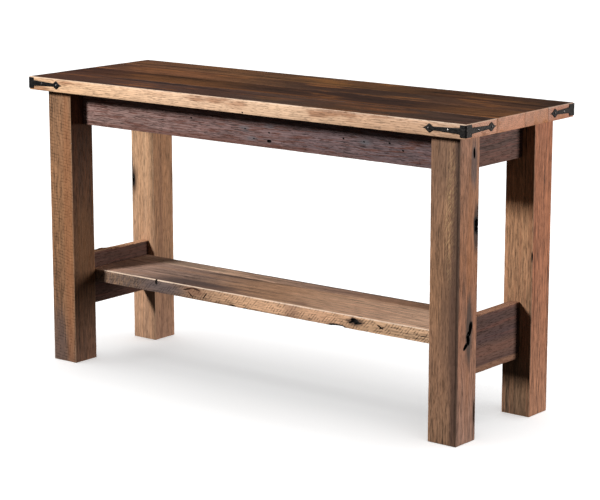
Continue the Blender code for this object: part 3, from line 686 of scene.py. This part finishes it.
BOARDS = {
    "top_board_front": dict(
        TOP_BOARD, calm=0.78, seed=1.0, heart=(0.03, -0.12),
        tones=(shade(114, 74, 56), shade(112, 78, 66), shade(110, 82, 76), shade(112, 78, 66),
               shade(120, 94, 82), shade(118, 82, 58), shade(110, 84, 70), shade(114, 82, 70)),
        faces={"-y": (shade(218, 178, 140), shade(232, 192, 156), shade(230, 192, 160),
                      shade(228, 192, 160), shade(214, 174, 142), shade(200, 162, 132)),
               "+x": (shade(213, 160, 132),), "-x": (PINK_TAN,), "-z": (TAN_DEEP, shade(170, 132, 106))},
        second=shade(82, 54, 42), second_share=0.75, streak=1.35,
        weather=(shade(142, 90, 56), 0.7, 0.55), pale=(PALE_ARRIS_AND_HIGHLIGHT, 0.85), pale_reach=0.0032,
        marks=(Mark("-y", 0.038, -0.0135, 0.005, 0.003, 0.002, 20),
               stain("-y", 0.02, 0.0, 0.05, 0.018, shade(206, 160, 128), 0.4, 0.5),
               stain("+z", 0.08, -0.012, 0.10, 0.03, shade(140, 96, 62), 0.6, 0.6))),
    "top_board_second": dict(
        TOP_BOARD, calm=0.65, seed=21.0, heart=(-0.04, -0.10),
        tones=(shade(98, 62, 50), shade(120, 76, 54), shade(152, 100, 60), shade(146, 96, 58),
               shade(104, 70, 52), shade(90, 61, 48), shade(84, 58, 47), shade(88, 60, 48),
               shade(140, 94, 61), shade(180, 122, 77)),
        faces={"+x": (shade(210, 152, 122),), "-x": (PINK_TAN,), "-z": (TAN_DEEP, shade(160, 124, 98))},
        second=shade(64, 42, 34), second_share=0.75, streak=1.45,
        weather=(shade(166, 106, 58), 0.7, 0.55), pale=(PALE_ARRIS_AND_HIGHLIGHT, 0.3),
        marks=(stain("+z", 0.05, -0.044, 1.10, 0.018, shade(158, 102, 62), 0.6, 0.5),)),
    "top_board_third": dict(
        TOP_BOARD, calm=0.65, seed=41.0, heart=(0.05, -0.08),
        tones=(shade(132, 89, 67), shade(180, 120, 82), shade(190, 127, 86), shade(160, 112, 76),
               shade(108, 78, 62), shade(94, 66, 53), shade(112, 82, 64), shade(140, 96, 70),
               shade(126, 86, 62)),
        faces={"+x": (shade(197, 142, 112),), "-x": (PINK_TAN,), "-z": (shade(176, 138, 108), TAN_DEEP)},
        second=shade(70, 46, 36), second_share=0.75, streak=1.45,
        weather=(shade(172, 112, 64), 0.7, 0.55), pale=(PALE_ARRIS_AND_HIGHLIGHT, 0.3), marks=()),
    "top_board_rear": dict(
        TOP_BOARD, calm=0.65, seed=61.0, heart=(-0.03, -0.11),
        tones=(shade(160, 110, 82), shade(168, 118, 82), shade(154, 108, 73), shade(146, 102, 64),
               shade(122, 80, 56), shade(106, 74, 56)),
        faces={"+x": (shade(195, 139, 113),), "-x": (PINK_TAN,),
               "+y": (TAN, TAN_DEEP, shade(206, 164, 130)), "-z": (TAN_DEEP,)},
        second=shade(80, 54, 40), second_share=0.7, streak=1.45,
        weather=(shade(164, 110, 60), 0.65, 0.55), pale=(shade(226, 204, 186), 0.6), marks=()),
    "leg_front_left": dict(
        LEG, fibre=1.7, seed=81.0, heart=(-0.01, -0.07),
        tones=(shade(118, 91, 76), shade(136, 100, 73), shade(150, 110, 78), shade(150, 110, 79),
               shade(148, 112, 84)),
        # The right face is darker than the front and darkens towards the top: partly the wood's own tone,
        # partly painted shade from the top and the other legs.
        faces={"+x": (shade(122, 90, 72), shade(106, 74, 50), shade(92, 60, 38), shade(92, 58, 40)),
               "-x": (shade(132, 100, 78), shade(150, 112, 84))},
        second=shade(112, 78, 54), second_share=0.45, streak=0.8, streak_fine=95.0,
        pale=(shade(196, 160, 130), 0.35),
        saw=(0.0086, 0.14, 0.2, 0.7, ("-y", "-x")),
        marks=(stain("-y", 0.36, 0.024, 0.80, 0.034, shade(158, 104, 68), 0.5, 0.4),
               stain("-y", 0.05, -0.02, 0.16, 0.05, shade(96, 80, 76), 0.55, 0.5),
               stain("-y", 0.57, -0.037, 0.09, 0.006, shade(110, 84, 66), 0.6, 0.5),
               stain("+x", 0.33, 0.0, 0.18, 0.05, shade(122, 86, 56), 0.5, 0.5))),
    "leg_front_right": dict(
        LEG, fibre=1.7, seed=101.0, heart=(0.02, -0.06),
        tones=(shade(150, 115, 90), shade(150, 113, 89), shade(160, 120, 91), shade(154, 116, 90),
               shade(144, 110, 88)),
        faces={"+x": (shade(168, 134, 118), shade(166, 126, 106), shade(168, 122, 98), shade(164, 116, 87),
                      shade(174, 127, 99), shade(170, 130, 109)),
               "-x": (shade(140, 106, 82), shade(150, 114, 88)),
               "+y": (shade(140, 106, 84), shade(150, 112, 84))},
        second=shade(100, 72, 52), second_share=0.45, streak=0.85, streak_fine=95.0,
        pale=(shade(186, 156, 132), 0.12),
        strokes=(Mark("-y", 0.540, 0.020, 0.42, 0.046), -24, shade(204, 168, 124), 0.6),
        marks=(stain("-y", 0.30, 0.033, 0.85, 0.032, shade(82, 60, 52), 0.8, 0.45),
               stain("-y", 0.31, 0.010, 0.26, 0.036, shade(96, 72, 60), 0.55, 0.6),
               stain("-y", 0.40, 0.0372, 1.00, 0.0076, shade(56, 38, 30), 0.8, 0.5),
               stain("-y", 0.66, -0.01, 0.16, 0.06, shade(120, 92, 74), 0.4, 0.6),
               stain("+x", 0.36, 0.004, 0.60, 0.016, shade(176, 116, 70), 0.30, 0.6),
               stain("+x", 0.655, 0.018, 0.100, 0.022, shade(104, 90, 88), 0.8, 0.4),
               Mark("+x", 0.683, 0.018, 0.022, 0.0070, 0.008, 3),
               stain("+x", 0.508, 0.032, 0.110, 0.024, shade(60, 50, 47), 0.9, 0.35),
               Mark("+x", 0.513, 0.0310, 0.034, 0.016, 0.008, 6),
               stain("+x", 0.270, 0.007, 0.175, 0.030, shade(72, 66, 64), 0.85, 0.4),
               Mark("+x", 0.2760, 0.0135, 0.026, 0.0130, 0.009, -12),
               Mark("+x", 0.2620, 0.0070, 0.024, 0.0120, 0.009, -48),
               Mark("+x", 0.2480, 0.0045, 0.024, 0.0120, 0.009, 10),
               Mark("+x", 0.2350, -0.0045, 0.022, 0.0100, 0.008, -52),
               Mark("+x", 0.066, 0.034, 0.055, 0.0045, 0.004, 2),
               stain("+x", 0.066, 0.034, 0.10, 0.012, shade(96, 76, 66), 0.6, 0.4))),
    "leg_rear_left": dict(
        LEG, fibre=1.1, seed=121.0, heart=(0.03, 0.05),
        tones=(shade(186, 146, 118), shade(192, 152, 122), shade(200, 160, 126), shade(202, 162, 128)),
        faces={"+x": (shade(182, 142, 118), shade(184, 142, 110), shade(184, 140, 106), shade(178, 134, 102)),
               "-x": (shade(170, 130, 104), shade(182, 142, 112)),
               "+y": (shade(180, 140, 110), TAN_DEEP)},
        second=shade(160, 118, 86), second_share=0.35, streak=0.45, streak_fine=90.0,
        pale=(shade(226, 190, 158), 0.3),
        marks=(stain("-y", 0.445, -0.034, 0.07, 0.024, shade(80, 60, 48), 0.85, 0.5),
               stain("-y", 0.445, -0.0360, 0.036, 0.016, HOLE_DARK_AND_SHADE, 1.0, 0.3),
               Mark("-y", 0.443, -0.0345, 0.018, 0.006, 0.006, 12),
               stain("-y", 0.475, -0.0385, 0.085, 0.007, shade(40, 30, 25), 0.9, 0.4),
               stain("-y", 0.410, -0.0388, 0.060, 0.005, shade(52, 40, 32), 0.8, 0.4),
               stain("+x", 0.45, 0.034, 0.07, 0.006, shade(96, 70, 56), 0.7, 0.5),
               stain("+x", 0.25, -0.01, 0.5, 0.016, shade(124, 92, 76), 0.4, 0.6))),
    "leg_rear_right": dict(
        LEG, fibre=1.7, seed=141.0, heart=(-0.03, 0.04),
        tones=(shade(116, 90, 70), shade(136, 104, 78), shade(176, 134, 102), shade(174, 130, 96),
               shade(152, 112, 82)),
        faces={"+x": (shade(176, 130, 104), shade(176, 124, 96), shade(176, 119, 90), shade(176, 117, 86),
                      shade(174, 116, 88)),
               "-x": (shade(150, 114, 88), shade(160, 122, 94)),
               "+y": (shade(160, 120, 92), shade(150, 110, 84))},
        second=shade(116, 74, 54), second_share=0.45, streak=0.8, streak_fine=95.0,
        pale=(shade(206, 164, 134), 0.3),
        marks=(stain("+x", 0.36, -0.028, 0.34, 0.006, shade(110, 66, 46), 0.6, 0.5),
               Mark("-y", 0.398, 0.0390, 0.022, 0.004, 0.003, 0))),
    "apron_front": dict(
        APRON, grain="x", seed=161.0, fibre=1.3,
        tones=(shade(154, 124, 118), shade(142, 115, 110), shade(134, 107, 104), shade(126, 102, 101),
               shade(120, 99, 101), shade(114, 96, 99), shade(110, 90, 92)),
        second=shade(88, 56, 48), second_share=0.9,
        weather=(shade(104, 70, 60), 0.5, 0.6), pale=(shade(150, 118, 104), 0.4),
        marks=tuple(Mark("-y", x, z - APRON_MIDDLE, 0.0052, 0.0034, 0.008, 15) for x, z in
                    ((-0.194, 0.688), (-0.018, 0.677), (0.010, 0.655), (0.058, 0.674), (0.285, 0.682),
                     (0.346, 0.680), (0.420, 0.684), (0.459, 0.670)))
        + tuple(stain("-y", x, z - APRON_MIDDLE, 0.030, 0.013, BLUE_GREY, 0.55, 0.6)
                for x, z in ((-0.020, 0.679), (0.004, 0.656), (0.058, 0.690), (0.350, 0.678)))
        + (Mark("-y", 0.058, -0.028, 0.012, 0.0060, 0.008, 0),
           stain("-y", -0.19, -0.040, 1.0, 0.012, shade(112, 72, 60), 0.5, 0.7))),
    "apron_rear": dict(
        APRON, grain="x", seed=181.0,
        tones=(shade(120, 98, 92), shade(126, 104, 100), shade(112, 92, 90), shade(104, 84, 80)),
        second=shade(98, 66, 58), second_share=0.85,
        pale=(shade(150, 118, 104), 0.35),
        marks=tuple(Mark("+y", x, z, 0.005, 0.0034, 0.008, 10) for x, z in
                    ((-0.31, 0.012), (-0.12, -0.018), (0.17, 0.005), (0.40, -0.012)))),
    "apron_left": dict(
        APRON, grain="y", seed=201.0,
        tones=(shade(112, 92, 88), shade(120, 98, 94), shade(108, 86, 80)),
        second=shade(98, 66, 58), second_share=0.75,
        pale=(shade(150, 118, 104), 0.35), marks=()),
    "apron_right": dict(
        APRON, grain="y", seed=221.0,
        tones=(shade(98, 76, 71), shade(98, 76, 71), shade(92, 72, 68)),
        second=shade(104, 72, 66), second_share=0.75,
        pale=(shade(150, 118, 104), 0.35),
        marks=(stain("+x", 0.0, -0.03, 0.24, 0.03, shade(120, 84, 72), 0.4, 0.7),)),
    "stretcher_left": dict(
        STRETCHER, seed=241.0,
        tones=(shade(82, 57, 49), shade(78, 52, 44), shade(84, 58, 50)),
        faces={"+z": (shade(232, 186, 150), shade(216, 168, 134))},
        second=shade(92, 54, 44), second_share=0.7, second_cut=(0.5, 0.58), streak_fine=80.0,
        pale=(shade(170, 130, 104), 0.4), marks=(), wavy=0.006),
    "stretcher_right": dict(
        STRETCHER, seed=261.0,
        tones=(shade(92, 67, 60), shade(87, 63, 59), shade(90, 66, 60)),
        faces={"+z": (shade(190, 146, 120), shade(180, 136, 112)), "-z": (shade(150, 112, 90),)},
        second=shade(106, 68, 58), second_share=0.6, second_cut=(0.5, 0.6), streak_fine=70.0,
        pale=(shade(166, 122, 98), 0.45),
        marks=(stain("+x", 0.0, -0.026, 0.30, 0.040, shade(132, 98, 84), 0.5, 0.6),
               stain("+x", 0.0, 0.010, 0.30, 0.022, shade(84, 64, 66), 0.5, 0.6),
               stain("+x", 0.0, -0.062, 0.30, 0.014, shade(158, 118, 94), 0.75, 0.5))),
    "shelf_board_front": dict(
        SHELF_BOARD, slot="light_shelf_timber", calm=0.5, fibre_run=20.0, seed=281.0, gloss=0.66,
        tones=(shade(218, 178, 158), shade(188, 158, 144), shade(172, 144, 130), shade(194, 154, 126),
               shade(208, 164, 132), shade(224, 182, 152), shade(246, 202, 172), shade(252, 210, 180),
               shade(250, 208, 178)),
        faces={"-y": (shade(150, 120, 102), shade(120, 102, 96), shade(122, 98, 86), shade(166, 132, 106),
                      shade(212, 170, 136), shade(222, 178, 144), shade(212, 168, 136), shade(208, 168, 134),
                      shade(214, 176, 142), shade(200, 160, 130)),
               "-z": (TAN_DEEP, shade(176, 138, 110))},
        second=shade(140, 104, 80), second_share=0.55, streak=1.25, streak_fine=44.0, fibre=1.3,
        strokes=(Mark("-y", -0.50, 0.0, 0.24, 0.05), 78, shade(190, 150, 116), 0.7),
        weather=(shade(118, 98, 90), 0.45, 0.60), pale=(shade(252, 226, 204), 0.95), pale_reach=0.0036,
        saw=(0.0088, -0.8, 0.4, 1.0, ("-y",)), blotch=0.3,
        marks=(stain("-y", -0.47, 0.0, 0.16, 0.030, shade(92, 76, 66), 0.5, 0.6),
               stain("-y", -0.335, -0.002, 0.13, 0.030, shade(104, 92, 92), 0.65, 0.6),
               Mark("-y", -0.3575, 0.0145, 0.007, 0.016, 0.005, 5),
               Mark("-y", -0.246, 0.008, 0.030, 0.0035, 0.003, -14),
               Mark("-y", -0.219, 0.010, 0.022, 0.005, 0.004, 10),
               Mark("-y", -0.239, -0.006, 0.020, 0.0028, 0.003, 40),
               Mark("-y", -0.190, -0.002, 0.016, 0.0026, 0.003, -48),
               stain("-y", -0.226, 0.004, 0.06, 0.024, shade(140, 100, 78), 0.5, 0.5),
               Mark("-y", -0.0975, -0.0135, 0.016, 0.0032, 0.004, 4),
               Mark("-y", -0.056, -0.0160, 0.012, 0.0036, 0.004, 0),
               stain("-y", 0.094, 0.002, 0.045, 0.040, shade(152, 116, 96), 0.6, 0.6),
               Mark("-y", 0.238, -0.0172, 0.044, 0.0100, 0.010, 3),
               stain("-y", 0.292, 0.0030, 0.052, 0.022, shade(88, 66, 54), 0.85, 0.4),
               Mark("-y", 0.290, 0.0055, 0.022, 0.0100, 0.008, 14),
               Mark("-y", 0.280, 0.0010, 0.014, 0.0040, 0.004, -20),
               Mark("-y", 0.300, 0.0000, 0.020, 0.0040, 0.004, -12),
               Mark("-y", 0.366, 0.0015, 0.016, 0.0032, 0.004, 24),
               Mark("-y", 0.371, -0.0005, 0.012, 0.0028, 0.004, -20),
               Mark("-y", 0.496, -0.0020, 0.020, 0.0020, 0.002, -3),
               Mark("+z", 0.302, -0.076, 0.014, 0.0040, 0.004, 8),
               stain("+z", -0.25, -0.052, 0.26, 0.060, shade(92, 78, 76), 0.9, 0.6),
               stain("+z", -0.14, -0.070, 0.22, 0.022, shade(132, 104, 92), 0.6, 0.6),
               stain("+z", -0.56, 0.020, 0.10, 0.14, shade(104, 82, 74), 0.5, 0.6),
               Mark("+z", -0.272, -0.070, 0.008, 0.003, 0.003, 0),
               stain("+z", 0.10, -0.060, 0.06, 0.030, shade(150, 118, 104), 0.5, 0.6))),
    "shelf_board_rear": dict(
        SHELF_BOARD, slot="dark_shelf_timber", seed=301.0, gloss=0.64,
        tones=(shade(216, 180, 158), shade(254, 220, 192), shade(232, 192, 164), shade(198, 162, 140),
               shade(176, 142, 124), shade(170, 132, 108), shade(152, 116, 92), shade(128, 96, 76)),
        faces={"+y": (shade(120, 96, 84), shade(140, 112, 94)), "-z": (shade(130, 104, 88),)},
        second=shade(104, 80, 68), second_share=0.45, streak=0.8, fibre=1.2, blotch=0.4,
        pale=(shade(160, 134, 116), 0.4),
        marks=(stain("+z", -0.45, 0.0, 0.26, 0.06, shade(104, 86, 78), 0.6, 0.6),
               Mark("+z", 0.12, 0.030, 1.20, 0.026, turn=0.6, colour=shade(108, 92, 86), amount=0.7,
                    soft=0.4))),
}

ARRIS_EASE = 0.0018                     # how far an arris is taken off
SEAM_EASE = 0.0009                      # the same, where two top boards meet
TOP_CHIP = 0.0003                       # how deep the wear along an arris goes
FRAME_CHIP = 0.0004

for name, settings in BOARDS.items():
    settings = dict(settings)
    slot = settings.pop("slot")
    wavy = settings.pop("wavy", None)
    finish = timber_finish(name + "_finish", box=BOXES[name], **settings)
    of_top = name.startswith("top")
    inner = name in ("top_board_second", "top_board_third")
    timber(name + "_timber", name, BOXES[name], settings["grain"], finish,
           ease=SEAM_EASE if inner else ARRIS_EASE, chip=TOP_CHIP if of_top else FRAME_CHIP,
           marks=settings["marks"], wavy=wavy, seed=int(settings["seed"]))


# ---------------------------------------------------------------- inside timber and ironwork finishes
def dress(names, finish):
    """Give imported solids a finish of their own."""
    for name in names:
        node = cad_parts[name]
        node.data.materials.clear()
        node.data.materials.append(finish)


INNER_SEED = 400.0
for name in ("batten_left", "batten_right", "cleat_left", "cleat_right"):
    inner_finish = timber_finish(
        name + "_finish", "y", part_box(name), (shade(176, 142, 110), shade(188, 152, 118)),
        second=shade(150, 112, 82), saw=(0.005, 0.2, 0.25, 0.8, ("-z",)), seed=INNER_SEED + len(name))
    dress([name], inner_finish)


DENT_CELLS = (210, 210, 210)            # hammer dents to the metre
BLOOM_CELLS = (60, 60, 60)
SPECK_CELLS = (900, 900, 900)


def iron_finish(name, tone, worn, gloss):
    """Hammered black iron, with a thin bloom where it has been handled."""
    finish = Finish(name)
    dents = finish.noise(finish.place, DENT_CELLS, 2, 0.5)
    bloom = finish.noise(finish.place, BLOOM_CELLS, 4, 0.6)
    speck = finish.noise(finish.place, SPECK_CELLS, 2, 0.6)
    colour = finish.mix(finish.between(bloom, 0.45, 0.7), tone, worn)
    colour = finish.mix(1.0, colour, 0.75 + speck * 0.5, "MULTIPLY")
    roughness = gloss + (bloom - 0.5) * 0.3 + (speck - 0.5) * 0.15
    return finish.done(colour, roughness, finish.bump(dents + speck * 0.2, 0.0008), metallic=0.7)


iron_black = iron_finish("forged_iron_finish", shade(21, 20, 20), shade(40, 37, 36), 0.5)
# The nails use the plates' iron made far paler and glossier: partly a worn bloom, partly a painted highlight
# on their heads.
nail_iron_with_painted_highlight = iron_finish("nail_iron_finish", shade(96, 94, 94), shade(160, 157, 154), 0.26)
screw_grey = iron_finish("screw_steel_finish", shade(140, 138, 134), shade(170, 168, 162), 0.35)
dress([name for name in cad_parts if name.startswith("screw")], screw_grey)

# ---------------------------------------------------------------- corner irons and their nails
HAMMERED = worn_texture("hammered", 0.005, 1.4)
HAMMER_DEPTH = 0.0004
IRON_VOXEL = 0.0008                     # mesh size of an iron's skin
WELD = 0.00001
IRON_SMOOTH_ANGLE = math.radians(50)


def forged_iron(name):
    """An iron's plate and arms, with softened arrises and a hammered skin."""
    piece = bpy.data.objects.new(name + "_forged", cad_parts[name].data.copy())
    bpy.context.scene.collection.objects.link(piece)
    only(piece)
    bpy.ops.object.mode_set(mode="EDIT")
    bpy.ops.mesh.select_all(action="SELECT")
    bpy.ops.mesh.remove_doubles(threshold=WELD)
    bpy.ops.object.mode_set(mode="OBJECT")
    skin = piece.modifiers.new("skin", "REMESH")
    skin.mode = "VOXEL"
    skin.voxel_size = IRON_VOXEL
    apply(piece, skin)
    smooth = piece.modifiers.new("smooth", "SMOOTH")
    smooth.iterations = 2
    smooth.factor = 0.4
    apply(piece, smooth)
    sink(piece, HAMMERED, HAMMER_DEPTH)
    only(piece)
    bpy.ops.object.shade_smooth_by_angle(angle=IRON_SMOOTH_ANGLE)
    piece.data.materials.clear()
    piece.data.materials.append(iron_black)
    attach(piece, "root")
    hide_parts(name)


NAIL_HEAD_RADIUS = 0.0034
NAIL_HEAD_RISE = 0.0017
NAIL_HEAD_STEPS = ((0.0004, 0.94), (0.0005, 0.74), (0.0004, 0.48))     # each rise, and how it narrows
NAIL_HEAD_FLAT = 0.0004                 # thickness of the head's rim
SHANK_INSET = NAIL_HEAD_RADIUS * 0.66
SHANK_LENGTH = 0.022
SHANK_TAPER = 0.3
NAIL_LEAN = 0.06                        # how far a driven nail may lean, as a slope


def nail_head():
    """A hand-made nail: a hammered eight-sided head on a tapering eight-sided shank."""
    bpy.ops.object.select_all(action="DESELECT")
    bpy.ops.mesh.primitive_cylinder_add(vertices=8, radius=NAIL_HEAD_RADIUS, depth=NAIL_HEAD_FLAT,
                                        location=(0, 0, -NAIL_HEAD_RISE))
    nail = bpy.context.object
    place_in_mesh(nail)
    bpy.ops.object.mode_set(mode="EDIT")
    choose_faces(nail, lambda face: face.normal.z > 0.9)
    for rise, shrink in NAIL_HEAD_STEPS:
        bpy.ops.mesh.extrude_region_move(TRANSFORM_OT_translate={"value": (0, 0, rise)})
        bpy.ops.transform.resize(value=(shrink, shrink, 1.0))
    choose_faces(nail, lambda face: face.normal.z < -0.9)
    bpy.ops.mesh.inset(thickness=SHANK_INSET)
    bpy.ops.mesh.extrude_region_move(TRANSFORM_OT_translate={"value": (0, 0, -SHANK_LENGTH)})
    bpy.ops.transform.resize(value=(SHANK_TAPER, SHANK_TAPER, 1.0))
    bpy.ops.object.mode_set(mode="OBJECT")
    return nail


for name in [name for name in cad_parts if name.startswith("iron")]:
    forged_iron(name)

pattern_nail = nail_head()
for number, name in enumerate(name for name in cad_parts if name.startswith("nail")):
    low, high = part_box(name)
    point = (low + high) / 2
    axis = 1 if "_long_" in name else 0
    outward = Vector((0, 0, 0))
    outward[axis] = 1.0 if point[axis] > 0 else -1.0
    point[axis] = high[axis] if point[axis] > 0 else low[axis]
    nail = bpy.data.objects.new(name + "_driven", pattern_nail.data.copy())
    bpy.context.scene.collection.objects.link(nail)
    leaning = Vector((NAIL_LEAN * math.sin(number * 2.1), NAIL_LEAN * math.cos(number * 1.7), 1))
    lean = Vector((0, 0, 1)).rotation_difference(leaning)
    nail.rotation_euler = (outward.to_track_quat("Z", "Y") @ lean).to_euler()
    nail.location = point
    place_in_mesh(nail)
    nail.data.materials.append(nail_iron_with_painted_highlight)
    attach(nail, "root")
    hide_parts(name)
bpy.data.objects.remove(pattern_nail)


# ---------------------------------------------------------------- floor, world and lights
FLOOR_REACH = 60.0
FLOOR_GLOW = 0.42
WORLD_TINT = (1.0, 0.97, 0.94, 1.0)
WORLD_STRENGTH = 0.05
WHITE = (1.0, 1.0, 1.0, 1.0)
FLOOR_TONES = ((0.0, (0.9,) * 3), (1.0, (0.92,) * 3))


def add_floor():
    """A plain pale floor with a light of its own, which throws no colour back on the table."""
    bpy.ops.mesh.primitive_plane_add(size=FLOOR_REACH)
    floor = bpy.context.object
    floor.name = "floor"
    finish = Finish("pale_floor")
    mottle = finish.noise(finish.place, (3, 3, 3), 3)
    floor.data.materials.append(finish.done(finish.ramp(mottle, FLOOR_TONES), 0.8,
                                            glow=FLOOR_GLOW, glow_colour=WHITE))
    floor.visible_diffuse = False
    floor.visible_glossy = False
    return floor


def add_light(name, kind, toward, distance, energy, colour, size, lit):
    """A light that aims at the table's middle and lights one collection."""
    data = bpy.data.lights.new(name, kind)
    data.energy = energy
    data.color = colour
    if kind == "SUN":
        data.angle = math.radians(size)
    else:
        data.size = size
    light = bpy.data.objects.new(name, data)
    bpy.context.scene.collection.objects.link(light)
    light.location = MIDDLE + toward * distance
    light.rotation_euler = toward.to_track_quat("Z", "Y").to_euler()
    light.light_linking.receiver_collection = lit


def lit_collection(name, things):
    """A set of objects that one light is kept to."""
    collection = bpy.data.collections.new(name)
    for thing in things:
        collection.objects.link(thing)
    return collection


def add_world():
    """White to the eye, dim as a light."""
    world = bpy.data.worlds.new("studio")
    bpy.context.scene.world = world
    world.use_nodes = True
    tree = world.node_tree
    background = tree.nodes["Background"]
    background.inputs["Color"].default_value = WORLD_TINT
    background.inputs["Strength"].default_value = WORLD_STRENGTH
    white = tree.nodes.new("ShaderNodeBackground")
    white.inputs["Color"].default_value = WHITE
    path = tree.nodes.new("ShaderNodeLightPath")
    mixer = tree.nodes.new("ShaderNodeMixShader")
    tree.links.new(path.outputs["Is Camera Ray"], mixer.inputs[0])
    tree.links.new(background.outputs[0], mixer.inputs[1])
    tree.links.new(white.outputs[0], mixer.inputs[2])
    tree.links.new(mixer.outputs[0], tree.nodes["World Output"].inputs["Surface"])


floor = add_floor()
table_pieces = [thing for thing in bpy.data.objects if thing.type == "MESH" and thing != floor]
table_set = lit_collection("lit_table", table_pieces)
floor_set = lit_collection("lit_floor", [floor])
add_light("key_light", "AREA", Vector((-0.9, -1.9, 1.0)).normalized(), distance=6.0, energy=400.0,
          colour=(1.0, 0.97, 0.93), size=0.85, lit=table_set)
add_light("side_light", "AREA", Vector((0.86, 0.48, 0.11)).normalized(), distance=5.0, energy=185.0,
          colour=(1.0, 0.92, 0.86), size=1.6, lit=table_set)
add_light("floor_light", "SUN", Vector((0, 0, 1)), distance=3.0, energy=3.0,
          colour=(1.0, 1.0, 1.0), size=90.0, lit=floor_set)
add_world()
bpy.context.scene.view_settings.view_transform = "Standard"
